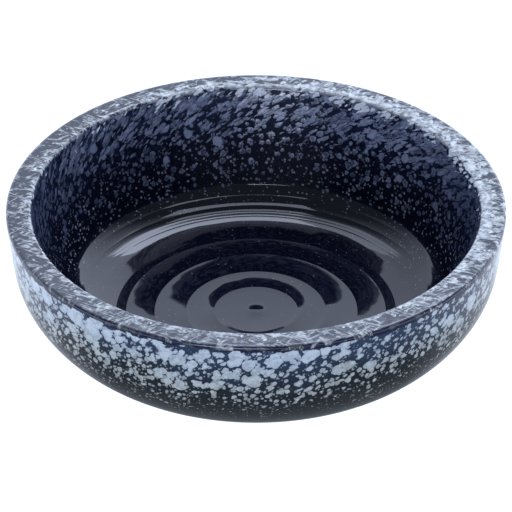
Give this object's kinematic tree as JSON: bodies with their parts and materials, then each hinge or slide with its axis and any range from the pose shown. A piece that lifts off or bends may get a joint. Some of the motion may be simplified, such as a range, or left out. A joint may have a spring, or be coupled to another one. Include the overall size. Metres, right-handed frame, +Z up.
{
  "type": "sashimi bowl",
  "caption": "Round thick-walled stoneware bowl for serving sashimi, with a flat rim, throwing rings in its well and a dark gloss glaze splashed with pale blue.",
  "frame": {"origin": "centre of the plane that the foot ring stands on, on the bowl's axis", "axes": "+Z up along the bowl's axis, from the foot to the rim; X and Y lie in the standing plane, and the round bowl has no front"},
  "size_m": [0.1596, 0.1596, 0.051],
  "materials": {
    "stoneware": "bare fired stoneware, matt and slightly gritty",
    "inner_glaze": "deep gloss, dark navy, spattered with lilac-grey drops near the rim",
    "rim_glaze": "gloss, dark under fine white hairs that run across the rim",
    "outer_glaze": "gloss, dark navy under dense pale blue splashes that thin out downwards",
    "foot_glaze": "gloss, dark navy"
  },
  "bodies": {
    "root": {"clay_body": "stoneware", "inner_glaze": "inner_glaze", "rim_glaze": "rim_glaze", "outer_glaze": "outer_glaze", "foot_recess_glaze": "foot_glaze"}
  },
  "joints": []
}
